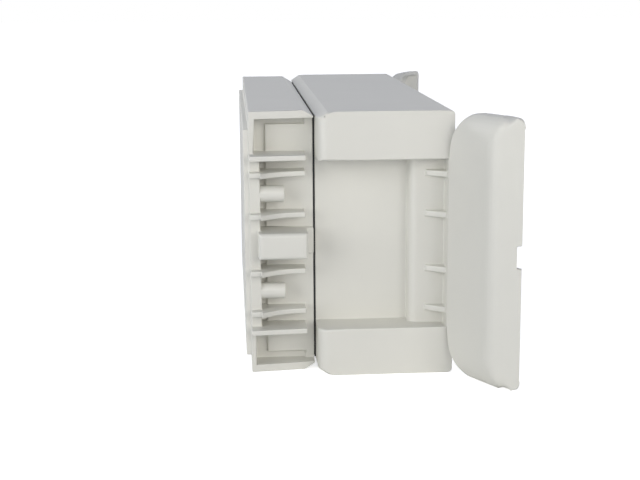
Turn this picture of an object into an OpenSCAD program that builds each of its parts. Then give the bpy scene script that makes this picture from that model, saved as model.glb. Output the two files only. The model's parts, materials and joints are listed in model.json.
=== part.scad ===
// Wall enclosure with a deep lid and a hinged cover flap at each end.
// X runs from the wall to the lid's top, Y along the length, Z up across the width.
// The origin is the middle of the wall face. All sizes are in millimetres.

/* [Overall] */
// Length of the lid, end to end
length = 250; // [220:1:300]
// Width over the long sides
width = 125; // [118:1:150]
// Height of the base, from its back to the parting line
base_h = 30.3; // [28:0.1:40]
// Height of the lid, from the parting line to its top
lid_h = 63.7; // [56:0.1:80]
// Gap between the two rims
part_gap = 1; // [0.3:0.05:1.2]

/* [Walls] */
// Thickness of the base's back and the lid's top
floor_t = 3; // [2.5:0.1:4]
// Thickness of the long sides at the rim
side_t = 6.5; // [6:0.1:8]
// Thickness of the end walls
end_t = 3.5; // [3.5:0.1:5]
// Depth of the end recess and the end compartments
end_depth = 19; // [17:0.5:24]
// Thickness of the long sides beside the end compartments
skin_t = 3.5; // [3:0.1:4]
// How much the base narrows on each side toward its back
taper = 0.2; // [0:0.1:2]
// Radius of the lid's outer top edges
edge_r = 2; // [1:0.1:3]

/* [Parting groove] */
// Height of the groove's flank on each rim
groove_h = 5; // [3:0.1:6]
// Depth of the groove into the long sides
groove_d = 3; // [2:0.1:3]
// Radius of the lid's corners where the rim meets the end
cheek_r = 9.5; // [8:0.5:14]
// Length over which these corners fade out
cheek_run = 5; // [3:0.5:14]
// Radius of the edge between the lid's rim and its ends
brow_r = 5.5; // [3:0.5:7]

/* [Back pad] */
// How far the pad stands off the back
pad_t = 2.5; // [1.5:0.1:4]
// Margin between the pad and the back's long edges
pad_inset = 8.3; // [4:0.1:10]
// Margin between the pad and the back's ends
pad_end = 1.2; // [1:0.1:2]

/* [Base ends] */
// Set-back of the base's ends at the back
back_setback = 8; // [5:0.1:9]
// Set-back of the base's ends at the rim
rim_setback = 12; // [8:0.1:13]
// Thickness of the back in the end compartments
end_floor_t = 5; // [4:0.1:6]
// Thickness of the back in the corner compartments
corner_floor_t = 2.3; // [2:0.1:3.5]
// Width of the groove round the end wall's panel, at the back
panel_edge = 2.9; // [2:0.1:6]
// Width of this groove along the long sides
panel_side = 3.4; // [1.5:0.1:4]
// Depth of this groove
panel_relief = 2; // [1:0.1:2.2]
// Thickness of the ribs
rib_t = 2.5; // [1.8:0.1:3]
// Distance of the outer ribs from the middle
outer_rib_z = 41.2; // [40:0.1:44]
// Distance of the second ribs from the middle
second_rib_z = 33; // [31:0.5:35]
// Distance of the inner ribs from the middle
inner_rib_z = 13.5; // [12:0.5:15]
// Set-back of the ribs' front edges
rib_setback = 0.5; // [0.3:0.1:4]
// How far the curved ribs draw back toward the rim
rib_lean = 9; // [5:0.5:11]
// Set-back of the curved ribs' feet behind their front edges
rib_foot = 3.5; // [2:0.5:6]
// Height by which the ribs stop short of the rim
rib_short = 4; // [3:0.1:6]
// Width of the catch block
catch_w = 12.4; // [10:0.1:16]
// Height of the catch block above the compartments' back
catch_h = 22; // [18:0.5:23]
// Set-back of the catch block's face
catch_setback = 0.5; // [0.3:0.1:6]
// Height of the tab between the catch block and the rim
catch_lip = 4; // [2:0.5:5]

/* [Wall screws] */
// Distance of the wall holes from the lid's ends
wall_hole_end = 12.5; // [12.3:0.1:14]
// Spacing of the wall holes across the width
wall_hole_w = 46.5; // [42:0.5:50]
// Diameter of the wall holes
wall_hole_d = 4.3; // [3.5:0.1:5]
// Diameter of the wall bosses
wall_boss_d = 7.8; // [7:0.1:9]
// Height of the wall bosses above the compartments' back
wall_boss_h = 11.5; // [8:0.5:15]

/* [Lid ends] */
// Width of the recess between the cheeks
recess_w = 80; // [76:0.5:84]
// Height of the ridge's lower face above the lid's rim
ridge_rise = 44; // [36:0.5:46]
// Set-back of the ridge's face
ridge_setback = 10; // [4:0.5:12]
// Radius of the ridge's front corner
ridge_r = 4; // [2:0.5:6]
// Length of the lugs below the lid's top
lug_h = 12; // [8:0.5:14]
// Thickness of the lugs
lug_t = 2.8; // [2:0.1:4]
// Distance of the outer lugs from the middle
outer_lug_z = 32.5; // [30:0.5:35]
// Distance of the inner lugs from the middle
inner_lug_z = 13.2; // [11:0.1:15]
// Set-back of the lugs' faces at the lid's top
lug_setback = 0.5; // [0.5:0.1:2]

/* [Seal] */
// Width of the gasket and of its groove in the lid's rim
seal_w = 2; // [1.6:0.1:2.2]
// Depth of the groove
seal_depth = 2.4; // [1.5:0.1:3]
// Clearance between the gasket and the base's rim
seal_gap = 0.35; // [0.3:0.05:0.5]

/* [Lid screws] */
// Diameter of the screw shanks
screw_d = 4; // [3:0.1:4.5]
// Clearance round the shanks
screw_gap = 0.3; // [0.3:0.05:0.6]
// Diameter of the screw heads
head_d = 8; // [7:0.1:8.5]
// Height of the screw heads
head_h = 3.6; // [2.5:0.1:4]
// Width of the heads' cross slots
slot_w = 1.2; // [0.8:0.1:1.5]
// Depth of the heads' cross slots
slot_h = 1.8; // [1:0.1:2.2]
// Depth of the heads' seats below the lid's top
head_seat = 4.5; // [4.2:0.1:6]
// Clearance round the heads
head_gap = 0.4; // [0.3:0.05:0.6]
// Diameter of the screw columns
column_d = 11; // [10.5:0.1:13]
// Distance of the screws from the ends
screw_end = 27.5; // [26:0.5:28]
// Distance of the screws from the long sides
screw_side = 11.5; // [11:0.1:14]
// Length of the threaded inserts
insert_l = 8; // [6:0.5:12]
// Wall of the threaded inserts
insert_t = 0.8; // [0.6:0.1:1.2]
// Free depth below the inserts
insert_relief = 4; // [2:0.5:6]

/* [Flaps] */
// How far the flaps stand inside the lid's long sides
flap_side = 0.3; // [0.3:0.1:2]
// How much narrower each side of the flap is at its free edge
flap_draw = 2; // [0:0.1:3]
// Length of the flap's cover, from its hinge edge to its crease
cover_l = 31.5; // [30:0.1:44]
// Angle by which the flap's free part bends down
bend = 42; // [40:1:60]
// Radius of the crease
crease_r = 11; // [4:0.5:12]
// Wall of the flaps
flap_t = 2.4; // [1.8:0.1:3]
// Width of the flap's round corners at the hinge, along the hinge
flap_r = 23; // [12:0.5:25]
// Reach of these corners away from the hinge
flap_reach = 15; // [10:0.5:25]
// Radius of the flap's corners at the free edge
free_r = 4; // [1.5:0.1:5]
// Width over which the flap's two sides round over
flank_w = 14; // [6:0.5:18]
// Height by which they round over
flank_h = 6.5; // [4:0.1:8]
// How far the hinge edge stands past the hinge line
hinge_over = 3; // [2:0.1:3.2]
// Height of the hinge line above the lid's top
hinge_rise = 3.7; // [3.6:0.1:5]
// How far the hinge line stands past the lid's end
hinge_out = 1.5; // [1.5:0.1:2.5]
// Radius of the knuckles round the hinge line
knuckle_r = 3.3; // [2.8:0.1:3.3]
// Clearance between the knuckles and the flap's cover
knuckle_gap = 0.6; // [0.5:0.1:1]
// Height of the closed flap's free edge above the lid's top
free_gap = 0.5; // [0.4:0.1:1]
// Width of the notch in the free edge
notch_w = 10; // [6:0.5:16]
// Depth of the notch
notch_h = 1.5; // [1:0.1:2.5]
// Angle of the flaps in the open pose, from closed
open_angle = 152; // [120:1:155]

/* [Hinge pins] */
// Diameter of the pins
pin_d = 3; // [2:0.1:3.5]
// Radial clearance of the pins in the flaps
pin_gap = 0.05; // [0.02:0.01:0.1]
// Length of pin outside the outer lugs
pin_end = 1; // [0.5:0.1:2]
// Thickness of the flaps' hinge ribs
hinge_rib_t = 2.6; // [2:0.1:3.5]
// Side clearance between hinge ribs and lugs
rib_gap = 0.4; // [0.3:0.05:0.6]

/* [Hidden] */
$fn = 48;
plastic = "#d9d8d1";

half_l = length / 2;
half_w = width / 2;
back_x = pad_t;
inside_x = back_x + floor_t;
pocket_back_x = back_x + end_floor_t;
lap = floor_t / 3;
compartment_z = half_w - taper - skin_t;
part_x = back_x + base_h;
rim_x = part_x + part_gap;
top_x = rim_x + lid_h;
roof_x = top_x - floor_t;
end_y = half_l - end_depth;
cavity_l = end_y - end_t;
root_y = end_y - (panel_relief + end_t) / 2;
cavity_w = half_w - side_t;
seal_y = end_y - end_t / 2;
seal_z = cavity_w + (side_t - groove_d) / 2;
ridge_x = rim_x + ridge_rise;
screw_y = half_l - screw_end;
screw_z = half_w - screw_side;
shank_hole_d = screw_d + 2 * screw_gap;
insert_d = shank_hole_d + 2 * insert_t;
seat_x = top_x - head_seat;
tip_x = part_x - insert_l;
axis_x = top_x + hinge_rise;
axis_y = half_l + hinge_out;
cover_in = knuckle_r + knuckle_gap;
cover_out = cover_in + flap_t;
free_v = free_gap - hinge_rise;
crease_u = cover_l - hinge_over;
free_u = crease_u + (cover_out - free_v) / tan(bend);
crease_c = [crease_u - crease_r * tan(bend / 2), cover_out - crease_r];
flap_half = half_w - flap_side;
inner_rib = inner_lug_z + lug_t / 2 + rib_gap + hinge_rib_t / 2;
outer_rib = outer_lug_z - lug_t / 2 - rib_gap - hinge_rib_t / 2;

function arc(c, r, a0, a1, n = 12) =
    [for (i = [0 : n]) c + r * [cos(a0 + (a1 - a0) * i / n), sin(a0 + (a1 - a0) * i / n)]];

// A quarter of an ellipse about c, from its height b to its width a.
function quarter(c, a, b, n = 10) =
    [for (i = [0 : n]) c + [a * sin(90 * i / n), b * cos(90 * i / n)]];

// A curve from a to b that leaves a toward c.
function curve(a, c, b, n = 8) =
    [for (i = [0 : n]) let (t = i / n) (1 - t) * (1 - t) * a + 2 * t * (1 - t) * c + t * t * b];

// Repeats its children at both ends; they are drawn at the +Y end.
module both_ends() {
    children();
    mirror([0, 1, 0]) children();
}

// Repeats its children on both sides of the middle plane.
module both_sides() {
    children();
    mirror([0, 0, 1]) children();
}

// A section drawn in X and Z, run along Y.
module along_length(y0, y1) {
    translate([0, y1, 0])
        rotate([90, 0, 0])
            linear_extrude(y1 - y0)
                children();
}

// A plate drawn in X and Y, centred on height z.
module plate(z, t) {
    translate([0, 0, z - t / 2])
        linear_extrude(t)
            children();
}

// A rectangular ring in the parting plane.
module ring(x, h, y, z, w) {
    difference() {
        translate([x, -y - w / 2, -z - w / 2])
            cube([h, 2 * y + w, 2 * z + w]);
        translate([x - lap, -y + w / 2, -z + w / 2])
            cube([h + 2 * lap, 2 * y - w, 2 * z - w]);
    }
}

// A round bar or hole along X.
module bar(x0, x1, d, y, z) {
    translate([x0, y, z])
        rotate([0, 90, 0])
            cylinder(h = x1 - x0, d = d);
}

// A block between two corners.
module block(a, b) {
    translate(a)
        cube(b - a);
}

module base_section() {
    polygon([
        [back_x, -half_w + taper], [part_x - groove_h, -half_w], [part_x, -half_w + groove_d],
        [part_x, half_w - groove_d], [part_x - groove_h, half_w], [back_x, half_w - taper]
    ]);
}

module base_side() {
    y0 = half_l - back_setback;
    y1 = half_l - rim_setback;
    polygon([[back_x, -y0], [part_x, -y1], [part_x, y1], [back_x, y0]]);
}

module base_shell() {
    intersection() {
        along_length(-half_l, half_l) base_section();
        plate(0, width) base_side();
    }
}

// The straight ribs beside the corners.
module outer_rib() {
    y_front = half_l - rib_setback;
    plate(outer_rib_z, rib_t)
        polygon([
            [back_x, root_y], [back_x, y_front], [part_x - rib_short, y_front - rib_lean / 4],
            [part_x - rib_short, root_y]
        ]);
}

// The ribs whose front edge draws back in a curve toward the rim.
module curved_rib(z) {
    y_front = half_l - rib_setback;
    tip = [part_x - rib_short, y_front - rib_lean];
    start = [pocket_back_x, y_front];
    plate(z, rib_t)
        polygon(concat(
            [[back_x, root_y], [back_x, y_front - rib_foot], [pocket_back_x, y_front - rib_foot]],
            curve(start, [start.x + 0.4 * (tip.x - start.x), tip.y], tip), [[tip.x, root_y]]
        ));
}

// A shallow groove that frames the end wall's panel on three sides.
module panel_groove() {
    y0 = end_y - panel_relief;
    panel_z = compartment_z - panel_side;
    difference() {
        block([pocket_back_x, y0, -compartment_z], [part_x - rib_short, end_y + lap, compartment_z]);
        block([pocket_back_x + panel_edge, y0 - lap, -panel_z], [part_x, end_y + 2 * lap, panel_z]);
    }
}

module base() {
    wall_y = half_l - wall_hole_end;
    wall_z = wall_hole_w / 2;
    boss_x = pocket_back_x + wall_boss_h;
    color(plastic)
    difference() {
        union() {
            difference() {
                base_shell();
                block([inside_x, -cavity_l, -cavity_w], [part_x + lap, cavity_l, cavity_w]);
                both_ends() {
                    block([pocket_back_x, end_y, -compartment_z], [part_x + lap, half_l, compartment_z]);
                    panel_groove();
                    both_sides()
                        block([back_x + corner_floor_t, end_y - panel_relief, outer_rib_z],
                              [pocket_back_x + lap, half_l, compartment_z]);
                }
            }
            block([0, -half_l + back_setback + pad_end, -half_w + taper + pad_inset],
                  [back_x, half_l - back_setback - pad_end, half_w - taper - pad_inset]);
            both_ends() {
                both_sides() {
                    outer_rib();
                    curved_rib(second_rib_z);
                    curved_rib(inner_rib_z);
                    bar(back_x, boss_x, wall_boss_d, wall_y, wall_z);
                    intersection() {
                        bar(back_x, part_x, column_d, screw_y, screw_z);
                        block([back_x, 0, 0], [part_x, end_y, half_w - groove_d]);
                    }
                }
                block([pocket_back_x - lap, root_y, -catch_w / 2],
                      [pocket_back_x + catch_h, half_l - catch_setback, catch_w / 2]);
                block([inside_x, root_y, -catch_w / 2],
                      [part_x, end_y + catch_lip, catch_w / 2]);
            }
        }
        both_ends() both_sides() {
            bar(-lap, boss_x + lap, wall_hole_d, wall_y, wall_z);
            bar(tip_x, part_x + lap, insert_d, screw_y, screw_z);
            bar(tip_x - insert_relief, tip_x + lap, shank_hole_d, screw_y, screw_z);
        }
    }
}

module lid_section() {
    side = concat(
        [[rim_x, half_w - groove_d], [rim_x + groove_h, half_w]],
        arc([top_x - edge_r, half_w - edge_r], edge_r, 90, 0, 8)
    );
    polygon(concat(side, [for (i = [len(side) - 1 : -1 : 0]) [side[i].x, -side[i].y]]));
}

module lid_side() {
    c = [rim_x + brow_r, half_l - brow_r];
    polygon(concat(
        arc(c, brow_r, 180, 90, 10), [[top_x, half_l], [top_x, -half_l]],
        arc([c.x, -c.y], brow_r, 270, 180, 10)
    ));
}

// Space left off each rim corner of the lid's ends: the cheeks are round there, and it fades out.
module cheek_corner() {
    fade_r = norm([cheek_r, cheek_r - groove_d]) + part_gap;
    difference() {
        block([rim_x - lap, half_l - cheek_run, half_w - cheek_r],
              [rim_x + cheek_r, half_l + lap, half_w + lap]);
        translate([rim_x + cheek_r, half_l, half_w - cheek_r])
            rotate([90, 0, 0])
                cylinder(h = cheek_run + lap, r1 = cheek_r, r2 = fade_r, $fn = 96);
    }
}

// The lug's outline: a slope in front of the ridge, and a knuckle round the hinge line.
module lug(z) {
    foot_x = top_x - lug_h;
    plate(z, lug_t)
        polygon([
            [foot_x, end_y - lap], [foot_x, half_l - ridge_setback + lap], [top_x, half_l - lug_setback],
            [axis_x, axis_y], [axis_x, axis_y - 2 * knuckle_r], [top_x, axis_y - 4 * knuckle_r],
            [top_x - lap, end_y - lap]
        ]);
    translate([axis_x, axis_y, z - lug_t / 2])
        cylinder(h = lug_t, r = knuckle_r);
}

module ridge() {
    y_face = half_l - ridge_setback;
    plate(0, recess_w + 2 * lap)
        polygon(concat(
            [[roof_x + lap, y_face], [roof_x + lap, end_y - lap], [ridge_x, end_y - lap]],
            arc([ridge_x + ridge_r, y_face - ridge_r], ridge_r, 180, 90, 8)
        ));
}

module lid() {
    color(plastic)
    difference() {
        union() {
            difference() {
                intersection() {
                    along_length(-half_l, half_l) lid_section();
                    plate(0, width) lid_side();
                }
                block([rim_x - lap, -cavity_l, -cavity_w], [roof_x, cavity_l, cavity_w]);
                both_ends() {
                    block([rim_x - lap, end_y, -recess_w / 2], [roof_x, half_l + lap, recess_w / 2]);
                    both_sides() cheek_corner();
                }
            }
            both_ends() {
                ridge();
                both_sides() {
                    lug(outer_lug_z);
                    lug(inner_lug_z);
                    intersection() {
                        bar(rim_x, roof_x + lap, column_d, screw_y, screw_z);
                        block([rim_x, 0, 0], [top_x, end_y, half_w - groove_d]);
                    }
                }
            }
        }
        ring(rim_x - lap, seal_depth + lap, seal_y, seal_z, seal_w);
        both_ends() {
            both_sides() {
                bar(rim_x - lap, top_x + lap, shank_hole_d, screw_y, screw_z);
                bar(seat_x, top_x + lap, head_d + 2 * head_gap, screw_y, screw_z);
            }
            translate([axis_x, axis_y, -half_w])
                cylinder(h = width, d = pin_d);
        }
    }
}

module gasket() {
    color("#3c3d3f")
    ring(part_x + seal_gap, part_gap - seal_gap + seal_depth, seal_y, seal_z, seal_w);
}

module lid_screw(y, z) {
    color("silver")
    difference() {
        union() {
            bar(tip_x, seat_x + lap, screw_d, y, z);
            bar(seat_x, seat_x + head_h, head_d, y, z);
        }
        for (a = [0, 90])
            translate([seat_x + head_h, y, z])
                rotate([a, 0, 0])
                    cube([2 * slot_h, head_d * 0.6, slot_w], center = true);
    }
}

module insert(y, z) {
    color("goldenrod")
    difference() {
        bar(tip_x, part_x, insert_d, y, z);
        bar(tip_x - lap, part_x + lap, shank_hole_d, y, z);
    }
}

module pin() {
    span = outer_lug_z + lug_t / 2 + pin_end;
    color("gray")
    translate([axis_x, axis_y, -span])
        cylinder(h = 2 * span, d = pin_d);
}

// The flap's side section in u (from the hinge line toward the middle) and v (height), closed.
module flap_outside() {
    polygon(concat(
        [[-hinge_over, cover_out]], arc(crease_c, crease_r, 90, 90 - bend, 8),
        [[free_u, free_v], [hinge_over, free_v], [-hinge_over, cover_in]]
    ));
}

module flap_inside() {
    turn = arc(crease_c, crease_r - flap_t, 90, 90 - bend, 8);
    tip = turn[8];
    low = free_v - lap;
    polygon(concat(
        [[-hinge_over + flap_t, cover_in]], turn,
        [[tip.x + (tip.y - low) / tan(bend), low], [-hinge_over + flap_t, low]]
    ));
}

// The flap's outline from above in u and z, less an inset.
module flap_outline(inset) {
    w = flap_half - inset;
    w1 = w - flap_draw;
    u0 = -hinge_over + inset;
    u1 = free_u;
    r0 = flap_r - inset;
    reach = flap_reach - inset;
    half = concat(
        [for (i = [0 : 12]) [u0 + reach * (1 - cos(90 * i / 12)), w - r0 + r0 * sin(90 * i / 12)]],
        [[crease_u, w]],
        arc([u1 - free_r, w1 - free_r], free_r, 90, 0, 6)
    );
    polygon(concat(half, [for (i = [len(half) - 1 : -1 : 0]) [half[i].x, -half[i].y]]));
}

// The flap's end section in v and z, with rounded sides, less an inset.
module flap_flanks(inset) {
    side = concat(
        [[free_v - 2 * lap, flap_half - inset]],
        quarter([cover_out - flank_h, flap_half - flank_w], flank_h - inset, flank_w - inset)
    );
    polygon(concat(side, [for (i = [len(side) - 1 : -1 : 0]) [side[i].x, -side[i].y]]));
}

// One closed form of the flap, drawn with u along X, v along Y and z along Z.
module flap_form(inset) {
    intersection() {
        plate(0, width) if (inset > 0) flap_inside(); else flap_outside();
        translate([0, cover_out + lap, 0])
            rotate([90, 0, 0])
                linear_extrude(cover_out - free_v + 4 * lap)
                    flap_outline(inset);
        translate([-hinge_over - lap, 0, 0])
            rotate([90, 0, 90])
                linear_extrude(free_u + hinge_over + 2 * lap)
                    flap_flanks(inset);
    }
}

module hinge_rib(z) {
    reach = hinge_over + 2 * knuckle_r;
    translate([0, 0, z - hinge_rib_t / 2])
        cylinder(h = hinge_rib_t, r = knuckle_r);
    plate(z, hinge_rib_t)
        polygon([
            [-hinge_over + lap, cover_in + lap], [reach, cover_in + lap],
            [knuckle_r * 0.7, -knuckle_r * 0.7], [-knuckle_r, 0]
        ]);
}

module flap() {
    color(plastic)
    difference() {
        union() {
            difference() {
                flap_form(0);
                flap_form(flap_t);
                translate([crease_u, free_v - lap, -notch_w / 2])
                    cube([free_u, notch_h + lap, notch_w]);
                translate([0, 0, -half_w])
                    cylinder(h = width, r = cover_in);
            }
            both_sides() {
                hinge_rib(inner_rib);
                hinge_rib(outer_rib);
            }
        }
        translate([0, 0, -half_w])
            cylinder(h = width, r = pin_d / 2 + pin_gap);
    }
}

// Places the flap on the +Y hinge line, in its open pose.
module placed_flap() {
    translate([axis_x, axis_y, 0])
        rotate([0, 0, open_angle - 90])
            flap();
}

module near_flap() {
    mirror([0, 1, 0]) placed_flap();
}

module far_flap() {
    placed_flap();
}

module near_pin() {
    mirror([0, 1, 0]) pin();
}

module far_pin() {
    pin();
}

base();
lid();
gasket();
near_flap();
far_flap();
near_pin();
far_pin();
lid_screw(-screw_y, -screw_z);  // lid_screw_1
lid_screw(-screw_y, screw_z);  // lid_screw_2
lid_screw(screw_y, -screw_z);  // lid_screw_3
lid_screw(screw_y, screw_z);  // lid_screw_4
insert(-screw_y, -screw_z);  // insert_1
insert(-screw_y, screw_z);  // insert_2
insert(screw_y, -screw_z);  // insert_3
insert(screw_y, screw_z);  // insert_4
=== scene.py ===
# %% [markdown]
# # A moulded wall enclosure with its end flaps open
# The enclosure is a shallow base, a deep lid and two hollow flaps, all of the same pale grey
# plastic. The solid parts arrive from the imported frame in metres: +X points from the wall to the
# lid's top, +Y along the length and +Z up. This lesson gives them moulded edges, a moulded skin,
# soft light and the camera of the photograph.

# %% Load the frame
import json
import math

import bmesh
import bpy
from mathutils import Matrix, Vector
from mathutils.bvhtree import BVHTree
from mathutils.geometry import intersect_point_line

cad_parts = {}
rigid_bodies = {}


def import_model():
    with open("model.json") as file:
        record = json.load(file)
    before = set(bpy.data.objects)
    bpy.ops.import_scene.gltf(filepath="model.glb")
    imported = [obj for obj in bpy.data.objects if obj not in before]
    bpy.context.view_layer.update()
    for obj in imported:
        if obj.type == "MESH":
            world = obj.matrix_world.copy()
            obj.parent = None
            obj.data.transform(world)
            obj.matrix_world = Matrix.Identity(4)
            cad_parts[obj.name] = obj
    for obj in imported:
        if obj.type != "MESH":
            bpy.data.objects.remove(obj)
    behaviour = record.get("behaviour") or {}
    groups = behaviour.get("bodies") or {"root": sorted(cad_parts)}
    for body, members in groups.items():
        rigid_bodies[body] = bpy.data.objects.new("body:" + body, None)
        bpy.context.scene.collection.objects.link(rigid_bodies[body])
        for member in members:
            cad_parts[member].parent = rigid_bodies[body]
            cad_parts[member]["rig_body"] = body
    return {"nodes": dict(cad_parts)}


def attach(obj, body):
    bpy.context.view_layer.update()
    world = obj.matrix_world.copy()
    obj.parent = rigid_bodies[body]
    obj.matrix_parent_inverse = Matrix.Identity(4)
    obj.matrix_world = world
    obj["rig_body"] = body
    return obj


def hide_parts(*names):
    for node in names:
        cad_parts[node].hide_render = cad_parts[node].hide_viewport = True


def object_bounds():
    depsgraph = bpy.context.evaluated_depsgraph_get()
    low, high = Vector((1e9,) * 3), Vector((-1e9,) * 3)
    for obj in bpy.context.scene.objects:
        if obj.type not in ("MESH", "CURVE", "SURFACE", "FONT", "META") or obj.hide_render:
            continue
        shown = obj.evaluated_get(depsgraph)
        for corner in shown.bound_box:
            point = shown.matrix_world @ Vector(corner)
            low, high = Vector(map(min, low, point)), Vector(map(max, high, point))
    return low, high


MM = 0.001
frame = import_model()
cad_box = [list(corner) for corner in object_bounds()]
print("solids", len(frame["nodes"]))


# %% [markdown]
# ## Colours and nodes
# Paint charts and photographs give colours as sRGB hex values, but shaders work in linear light.
# One function converts them. A second one adds a shader node with its settings and links, so that
# each material below reads as a short list of what its surface is made of. An input is given by
# its name, or by its number, as in _0, where several inputs share a name.

# %% Three helpers for materials
def linear(hex_colour):
    """The linear RGBA of an sRGB hex colour."""
    parts = [int(hex_colour[i:i + 2], 16) / 255 for i in (1, 3, 5)]
    return [c / 12.92 if c <= 0.04045 else ((c + 0.055) / 1.055) ** 2.4 for c in parts] + [1.0]


def add(material, kind, settings=None, **inputs):
    """Adds one node: settings are its properties, inputs its socket values or links."""
    tree = material.node_tree
    made = tree.nodes.new(kind)
    for name, value in (settings or {}).items():
        setattr(made, name, value)
    for name, value in inputs.items():
        key = int(name[1:]) if name[1:].isdigit() else name.replace("_", " ")
        socket = made.inputs[key]
        if isinstance(value, bpy.types.NodeSocket):
            tree.links.new(value, socket)
        else:
            socket.default_value = value
    return made


def new_material(name):
    """An empty node material and its output node."""
    material = bpy.data.materials.new(name)
    material.use_nodes = True
    material.node_tree.nodes.clear()
    return material, material.node_tree.nodes.new("ShaderNodeOutputMaterial")


print("white is", linear("#FFFFFF"))


# %% [markdown]
# ## Pale grey ABS with a spark-eroded mould texture
# The housing is injection moulded ABS. Its mould was spark eroded, which leaves a very fine grain,
# so highlights are broad and soft. The pigment is even, with only a faint cloudiness where the melt
# flowed, and the hollows look a little warmer where light bounces between the walls. The grain is
# about 0.3 mm on the real part; it is drawn at 0.6 mm so that the picture can show it.

# %% The housing plastic
GRAIN = 0.6 * MM
GRAIN_DEPTH = 0.05 * MM
CLOUD = 38 * MM
SATIN = (0.36, 0.46)


def moulded_abs(name, light, dark):
    """Satin ABS: a faint flow cloud in the colour, and a fine eroded grain in the bump."""
    material, output = new_material(name)
    place = add(material, "ShaderNodeTexCoord").outputs["Object"]
    cloud = add(material, "ShaderNodeTexNoise", Vector=place, Scale=1 / CLOUD, Detail=3.0, Roughness=0.55)
    tint = add(material, "ShaderNodeMix", {"data_type": "RGBA"}, _0=cloud.outputs["Fac"],
               _6=linear(dark), _7=linear(light))
    grain = add(material, "ShaderNodeTexNoise", Vector=place, Scale=1 / GRAIN, Detail=2.0)
    rough = add(material, "ShaderNodeMapRange", Value=grain.outputs["Fac"], To_Min=SATIN[0], To_Max=SATIN[1])
    bump = add(material, "ShaderNodeBump", Height=grain.outputs["Fac"], Strength=0.10, Distance=GRAIN_DEPTH)
    skin = add(material, "ShaderNodeBsdfPrincipled", Base_Color=tint.outputs[2], IOR=1.54,
               Roughness=rough.outputs["Result"], Normal=bump.outputs["Normal"])
    material.node_tree.links.new(skin.outputs["BSDF"], output.inputs["Surface"])
    return material


housing = moulded_abs("abs_spark_eroded_grey", "#DEDDD6", "#D8D7D0")
print("made", housing.name)


# %% [markdown]
# ## Rubber, steel and brass
# The gasket is extruded EPDM rubber, matt and nearly black. The hinge pins and lid screws are drawn
# and turned steel, and the threaded inserts are turned brass. Fine tool marks vary how rough the
# metals are. These parts show when the lid or a flap is moved.

# %% The small parts' materials
TOOL_MARKS = 0.4 * MM
TOOL_DEPTH = 0.04 * MM
BLOOM = 4 * MM


def turned_metal(name, colour, roughness):
    """Turned metal: fine tool marks that vary the roughness and the bump."""
    material, output = new_material(name)
    place = add(material, "ShaderNodeTexCoord").outputs["Object"]
    marks = add(material, "ShaderNodeTexNoise", Vector=place, Scale=1 / TOOL_MARKS, Detail=2.0)
    rough = add(material, "ShaderNodeMapRange", Value=marks.outputs["Fac"], To_Min=roughness - 0.08,
                To_Max=roughness + 0.08)
    bump = add(material, "ShaderNodeBump", Height=marks.outputs["Fac"], Strength=0.15, Distance=TOOL_DEPTH)
    skin = add(material, "ShaderNodeBsdfPrincipled", Base_Color=linear(colour), Metallic=1.0,
               Roughness=rough.outputs["Result"], Normal=bump.outputs["Normal"])
    material.node_tree.links.new(skin.outputs["BSDF"], output.inputs["Surface"])
    return material


def extruded_rubber(name, colour):
    """Matt rubber with a faint bloom in its roughness."""
    material, output = new_material(name)
    place = add(material, "ShaderNodeTexCoord").outputs["Object"]
    bloom = add(material, "ShaderNodeTexNoise", Vector=place, Scale=1 / BLOOM, Detail=4.0)
    rough = add(material, "ShaderNodeMapRange", Value=bloom.outputs["Fac"], To_Min=0.65, To_Max=0.85)
    skin = add(material, "ShaderNodeBsdfPrincipled", Base_Color=linear(colour), IOR=1.52,
               Roughness=rough.outputs["Result"])
    material.node_tree.links.new(skin.outputs["BSDF"], output.inputs["Surface"])
    return material


steel = turned_metal("steel_turned", "#B9BABD", 0.34)
brass = turned_metal("brass_turned", "#C9A45C", 0.32)
rubber = extruded_rubber("epdm_extruded", "#3A3B3D")
FINISHES = {"pin": steel, "screw": steel, "insert": brass, "gasket": rubber}

for name, node in frame["nodes"].items():
    for word in FINISHES.keys() & set(name.split("_")):
        node.data.materials.clear()
        node.data.materials.append(FINISHES[word])
        print(name, "is", FINISHES[word].name)


# %% [markdown]
# ## Room for a round
# No edge of a moulding is sharp: the mould's own corners are round, inside and out. A bevel makes
# such rounds, but where ribs and walls are close two rounds can run through each other. A trial on
# a copy finds those places. The edges near them are left out, and the trial is repeated until
# nothing crosses or the tries are used up.

# %% Rounds that don't cross
TURN = math.radians(24)
TRIES = 6
CLEARANCE = 1.5 * MM


def turned_edges(shape, where):
    """The edges that turn sharply and whose two ends satisfy a test."""
    return [e for e in shape.edges
            if len(e.link_faces) == 2 and e.calc_face_angle(0.0) > TURN and all(where(v.co) for v in e.verts)]


def round_edges(shape, edges, radius, segments):
    """Replaces edges by rounds of one radius."""
    bmesh.ops.bevel(shape, geom=edges, offset=radius, offset_type="OFFSET", affect="EDGES",
                    segments=segments, profile=0.5, material=-1, clamp_overlap=False)


def crossings(shape):
    """The places, to the nearest mm, where a shape's faces run through each other. It cuts the shape up."""
    bmesh.ops.triangulate(shape, faces=shape.faces)
    shape.faces.ensure_lookup_table()
    tree = BVHTree.FromBMesh(shape)
    places = set()
    for one, other in tree.overlap(tree):
        if one < other and not set(shape.faces[one].verts) & set(shape.faces[other].verts):
            middle = shape.faces[one].calc_center_median()
            places.add(tuple(round(c / MM) for c in middle))
    return [Vector(place) * MM for place in places]


def distance(place, edge):
    """How far a place is from an edge."""
    a, b = (v.co for v in edge.verts)
    nearest, part = intersect_point_line(place, a, b)
    return (place - (a if part < 0 else b if part > 1 else nearest)).length


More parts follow.
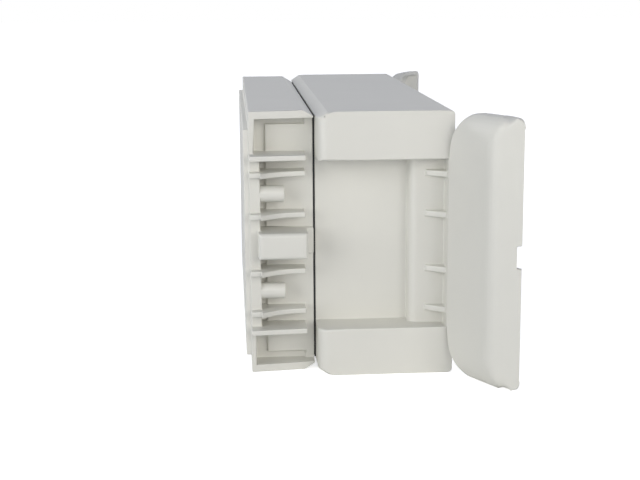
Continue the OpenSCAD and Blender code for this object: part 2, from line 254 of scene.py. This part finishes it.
def roomy_edges(shape, edges, radius, segments):
    """The edges that have room for a round: trials drop the others."""
    shape.edges.index_update()
    shape.edges.ensure_lookup_table()
    kept = {e.index for e in edges}
    for _ in range(TRIES):
        trial = shape.copy()
        trial.edges.ensure_lookup_table()
        round_edges(trial, [trial.edges[i] for i in kept], radius, segments)
        tight = crossings(trial)
        trial.free()
        if not tight:
            break
        kept = {i for i in kept if all(distance(place, shape.edges[i]) > CLEARANCE for place in tight)}
    return [shape.edges[i] for i in kept]


print("an edge is rounded where it turns by more than", round(math.degrees(TURN)), "degrees")


# %% [markdown]
# ## Copies with moulded edges
# The frame's solids have crisp edges, so each large piece is copied, its triangles are merged back
# into flat faces, and its edges are rounded in passes. The first pass takes the edges that the hand
# meets: the front of the catch, and the sides of the lid's cheeks at the parting line. The next
# takes every other sharp edge, and on the lid a last, finer one takes what had no room before.
# Weighted normals keep the large faces flat beside these narrow rounds.

# %% The base and the lid
WELD = 0.002 * MM
FLAT = math.radians(1)
SHADED_SHARP = math.radians(35)
CHEEK_END, CHEEK_SIDE, CHEEK_HALF = 123 * MM, 45 * MM, 56.5 * MM
CATCH_FRONT, CATCH_HALF = 124.4 * MM, 6.5 * MM


def moulded_copy(node_name, passes, soften=None):
    """A copy of a solid with rounded edges, which stands for the solid in the picture."""
    source = frame["nodes"][node_name]
    shape = bmesh.new()
    shape.from_mesh(source.data)
    bmesh.ops.remove_doubles(shape, verts=shape.verts, dist=WELD)
    bmesh.ops.dissolve_limit(shape, angle_limit=FLAT, verts=shape.verts, edges=shape.edges)
    if soften:
        soften(shape)
    for radius, segments, where in passes:
        sharp = turned_edges(shape, where)
        edges = roomy_edges(shape, sharp, radius, segments)
        round_edges(shape, edges, radius, segments)
        print(node_name, "rounds", len(edges), "of", len(sharp), "edges at", round(radius / MM, 2), "mm")
    mesh = bpy.data.meshes.new(node_name + "_moulded")
    shape.to_mesh(mesh)
    shape.free()
    mesh.shade_smooth()
    mesh.set_sharp_from_angle(angle=SHADED_SHARP)
    mesh.materials.append(housing)
    piece = bpy.data.objects.new(node_name + "_moulded", mesh)
    bpy.context.scene.collection.objects.link(piece)
    even = piece.modifiers.new("even_shading", "WEIGHTED_NORMAL")
    even.keep_sharp = True
    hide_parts(node_name)
    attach(piece, source["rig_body"])
    print(node_name, "faces", len(mesh.polygons))


def anywhere(point):
    return True


def cheek_side(point):
    return abs(point.y) > CHEEK_END and point.x < CHEEK_SIDE and abs(point.z) < CHEEK_HALF


def catch_face(point):
    return abs(point.y) > CATCH_FRONT and abs(point.z) < CATCH_HALF


moulded_copy("base", [(1.8 * MM, 5, catch_face), (0.5 * MM, 4, anywhere)])
moulded_copy("lid", [(1.2 * MM, 5, cheek_side), (0.6 * MM, 4, anywhere), (0.25 * MM, 2, anywhere)])


# %% [markdown]
# ## The flaps' soft corners
# Each flap is a cover that bends along a crease into a leg, and its two flanks curve over like
# quarter ellipses. On the real part the crease, the leg and the flanks run into each other in one
# soft corner. A bevel can't follow an edge that fades out, so the skin there is cut into a fine net
# and the net is relaxed: each point moves toward the middle of its neighbours a few times. The ends
# of the leg are then drawn out to the flap's full width, so that its free corners are square.

# %% The flaps' own directions
HINGE = Vector((101.2, 126.5, 0)) * MM
OPEN_TURN = math.radians(62)
BEND = math.radians(42)
CREASE_REACH, CREASE_HEIGHT = 28.5 * MM, 6.3 * MM


class Flap:
    """One flap's places and directions: along and out of the cover, down and out of the leg."""

    def __init__(self, side):
        self.along = Vector((math.cos(OPEN_TURN), side * math.sin(OPEN_TURN), 0))
        self.out = Vector((-math.sin(OPEN_TURN), side * math.cos(OPEN_TURN), 0))
        self.down = math.cos(BEND) * self.along - math.sin(BEND) * self.out
        self.leg_out = math.sin(BEND) * self.along + math.cos(BEND) * self.out
        self.hinge = Vector((HINGE.x, side * HINGE.y, 0))
        self.crease = self.hinge + CREASE_REACH * self.along + CREASE_HEIGHT * self.out


print("the leg bends by", round(math.degrees(BEND)), "degrees")

# %% A net in the skin
NET = 1.5 * MM
NET_ALONG, NET_ACROSS = range(-6, 8), range(27, 42)
NET_FROM = -14 * MM
FLANK_MIDDLE = 31 * MM
FACES_OUT = 0.3


def is_skin(face, flap):
    """Whether a face is outer skin near the crease or beyond it."""
    middle = face.calc_center_median()
    rise = math.copysign(1, middle.z) if abs(middle.z) > FLANK_MIDDLE else 0
    outward = flap.out + flap.leg_out + Vector((0, 0, rise))
    return (middle - flap.crease).dot(flap.down) > NET_FROM and face.normal.dot(outward) > FACES_OUT


def cut_net(shape, flap):
    """Cuts the skin round the crease's ends into small faces."""
    cuts = [(flap.crease + i * NET * flap.down, flap.down) for i in NET_ALONG]
    cuts += [(Vector((0, 0, end * i * NET)), Vector((0, 0, 1))) for end in (-1, 1) for i in NET_ACROSS]
    for place, normal in cuts:
        skin = [f for f in shape.faces if is_skin(f, flap)]
        parts = set(skin) | {e for f in skin for e in f.edges} | {v for f in skin for v in f.verts}
        bmesh.ops.bisect_plane(shape, geom=list(parts), dist=0.01 * MM, plane_co=place, plane_no=normal)


print("cuts", len(NET_ALONG) + 2 * len(NET_ACROSS))

# %% Relaxed corners and square ends
FLANK_FROM, FLANK_WIDTH = 48.2 * MM, 14 * MM
FLANK_FOOT, FLANK_RISE = -0.2 * MM, 6.5 * MM
CORNER_BAND, CORNER_FOOT, CORNER_FROM = 3.2 * MM, -0.8 * MM, 41 * MM
RELAXINGS = 14
LEG_END, LEG_RAMP = 6 * MM, 4 * MM
DRAW_OUT, DRAW_FROM, DRAW_SPAN = 1.6 * MM, 45 * MM, 15 * MM
FLAP_HALF = 62.2 * MM


def is_corner(vert, flap):
    """Whether a point of the skin lies where a flank and the leg run into each other."""
    if not all(is_skin(f, flap) for f in vert.link_faces):
        return False
    reach, height = (vert.co - flap.hinge).dot(flap.along), (vert.co - flap.hinge).dot(flap.out)
    part = min(max((abs(vert.co.z) - FLANK_FROM) / FLANK_WIDTH, 0), 1)
    flank_height = FLANK_FOOT + FLANK_RISE * math.sqrt(1 - part * part)
    leg_height = CREASE_HEIGHT - (reach - CREASE_REACH) * math.tan(BEND)
    return (abs(flank_height - leg_height) < CORNER_BAND and height > CORNER_FOOT
            and abs(vert.co.z) > CORNER_FROM)


def draw_out_leg(shape, flap):
    """Moves the leg's two ends outward to the flap's full width, growing toward its free edge."""
    for vert in shape.verts:
        past, far = (vert.co - flap.crease).dot(flap.down) - LEG_END, abs(vert.co.z)
        if past > 0 and far > DRAW_FROM:
            far += DRAW_OUT * min(past / LEG_RAMP, 1) * (far - DRAW_FROM) / DRAW_SPAN
            vert.co.z = math.copysign(min(far, FLAP_HALF), vert.co.z)


def relax_corners(shape):
    """Gives a flap its soft corners and square leg ends."""
    flap = Flap(1 if sum(v.co.y for v in shape.verts) > 0 else -1)
    cut_net(shape, flap)
    corner = [v for v in shape.verts if is_corner(v, flap)]
    for _ in range(RELAXINGS):
        bmesh.ops.smooth_vert(shape, verts=corner, factor=0.5, use_axis_x=True, use_axis_y=True,
                              use_axis_z=True)
    draw_out_leg(shape, flap)
    print("relaxed points", len(corner))


for flap_name in ("near_flap", "far_flap"):
    moulded_copy(flap_name, [(0.6 * MM, 4, anywhere), (0.25 * MM, 2, anywhere)], relax_corners)


# %% [markdown]
# ## Floor, light and camera
# The photograph is a cut-out on white, lit from the camera's side: faces toward the camera are
# brightest, and the upper long side is darker and cooler. The floor is white paper that keeps the
# soft shadow. To the camera it also glows a little, less near the object so that the shadow stays.

# %% The floor
SWEEP = 6.0
GLOW_NEAR, GLOW_FAR = 0.12, 0.5
GLOW_LEAST = 0.72

lowest = cad_box[0][2]
floor_shape = bmesh.new()
bmesh.ops.create_grid(floor_shape, x_segments=2, y_segments=2, size=SWEEP)
bmesh.ops.translate(floor_shape, verts=floor_shape.verts, vec=(0, 0, lowest))
floor_mesh = bpy.data.meshes.new("floor")
floor_shape.to_mesh(floor_mesh)
floor_shape.free()
floor = bpy.data.objects.new("floor", floor_mesh)
bpy.context.scene.collection.objects.link(floor)

paper, paper_out = new_material("paper_sweep_white")
seen = add(paper, "ShaderNodeLightPath").outputs["Is Camera Ray"]
spot = add(paper, "ShaderNodeTexCoord").outputs["Object"]
away = add(paper, "ShaderNodeVectorMath", {"operation": "LENGTH"}, _0=spot).outputs["Value"]
fade = add(paper, "ShaderNodeMapRange", Value=away, From_Min=GLOW_NEAR, From_Max=GLOW_FAR,
           To_Min=GLOW_LEAST, To_Max=1.0)
glow = add(paper, "ShaderNodeEmission", Color=linear("#FFFFFF"), Strength=fade.outputs["Result"])
matt = add(paper, "ShaderNodeBsdfDiffuse", Color=linear("#F4F4F2"))
lit = add(paper, "ShaderNodeAddShader", _0=matt.outputs[0], _1=glow.outputs[0])
chosen = add(paper, "ShaderNodeMixShader", _0=seen, _1=matt.outputs[0], _2=lit.outputs[0])
paper.node_tree.links.new(chosen.outputs[0], paper_out.inputs["Surface"])
floor_mesh.materials.append(paper)
print("floor at", round(lowest, 4))


# %% [markdown]
# ### Softboxes
# Two slightly warm boxes stand on the camera's side, and a large one fills from the left. A weak
# blue one hangs above and cools the upper long side. Two stand low at the back, to the sides, so
# that the object doesn't fall off into grey behind. The room adds a little cool light from all
# round, while the camera, glossy and transmitted rays see a white backdrop.

# %% The lights
def softbox(name, place, target, size, power, colour):
    """A square area light that faces a target."""
    lamp = bpy.data.lights.new(name, "AREA")
    lamp.size = size
    lamp.energy = power
    lamp.color = linear(colour)[:3]
    holder = bpy.data.objects.new(name, lamp)
    aim = Vector(target) - Vector(place)
    holder.matrix_world = Matrix.Translation(place) @ aim.to_track_quat("-Z", "Y").to_matrix().to_4x4()
    bpy.context.scene.collection.objects.link(holder)


middle = (0.05, 0.0, 0.0)
softbox("key_right", (0.80, -1.25, 0.45), middle, 0.8, 6.7, "#FFFCF6")
softbox("key_front", (0.15, -1.50, 0.35), middle, 0.45, 3.0, "#FFFCF6")
softbox("fill_left", (-1.10, -0.90, 0.30), middle, 1.1, 12.6, "#FFFFFD")
softbox("top_cool", (0.10, 0.20, 1.40), middle, 1.0, 0.8, "#5F93FF")
softbox("back_left", (-1.10, 0.75, 0.15), middle, 0.8, 7.0, "#FFFFFF")
softbox("back_right", (1.30, 0.35, 0.15), middle, 0.8, 3.4, "#FFFFFF")

# %% The room and its white backdrop
ROOM_LIGHT = 0.14

world = bpy.data.worlds.new("studio")
bpy.context.scene.world = world
world.use_nodes = True
world.node_tree.nodes.clear()
rays = add(world, "ShaderNodeLightPath").outputs
mirror = add(world, "ShaderNodeMath", {"operation": "MAXIMUM"}, _0=rays["Is Glossy Ray"],
             _1=rays["Is Transmission Ray"])
direct = add(world, "ShaderNodeMath", {"operation": "MAXIMUM"}, _0=rays["Is Camera Ray"],
             _1=mirror.outputs[0])
room = add(world, "ShaderNodeBackground", Color=linear("#CBDBFF"), Strength=ROOM_LIGHT)
backdrop = add(world, "ShaderNodeBackground", Color=linear("#FFFFFF"), Strength=1.0)
both = add(world, "ShaderNodeMixShader", _0=direct.outputs[0], _1=room.outputs[0], _2=backdrop.outputs[0])
add(world, "ShaderNodeOutputWorld", Surface=both.outputs[0])
print("room light", ROOM_LIGHT)


# %% [markdown]
# ### The photograph's camera
# The camera's place and turn come from the box's edges in the photograph, which is 640 by 480
# pixels. The focal length is in the same pixels.

# %% The camera
FOCAL_PIXELS = 1274.5
PICTURE_WIDTH = 640
SENSOR_WIDTH = 36.0
EYE = Vector((-4.9, -703.5, 118.8)) * MM
YAW = math.radians(3.927)
PITCH = math.radians(11.281)
ROLL = math.radians(-0.398)

forward = Vector((math.sin(YAW) * math.cos(PITCH), math.cos(YAW) * math.cos(PITCH), -math.sin(PITCH)))
level = Vector((math.cos(YAW), -math.sin(YAW), 0.0))
upright = level.cross(forward)
right = math.cos(ROLL) * level + math.sin(ROLL) * upright
up = math.cos(ROLL) * upright - math.sin(ROLL) * level
lens = bpy.data.cameras.new("camera")
lens.sensor_fit = "HORIZONTAL"
lens.sensor_width = SENSOR_WIDTH
lens.lens = FOCAL_PIXELS / PICTURE_WIDTH * SENSOR_WIDTH
lens.dof.use_dof = False
camera = bpy.data.objects.new("camera", lens)
camera.matrix_world = Matrix.Translation(EYE) @ Matrix((right, up, -forward)).transposed().to_4x4()
bpy.context.scene.collection.objects.link(camera)
bpy.context.scene.camera = camera
bpy.context.scene.view_settings.view_transform = "Standard"
print("lens", round(lens.lens, 2), "mm")

# %% Sizes, and the end
print("cad box", cad_box)
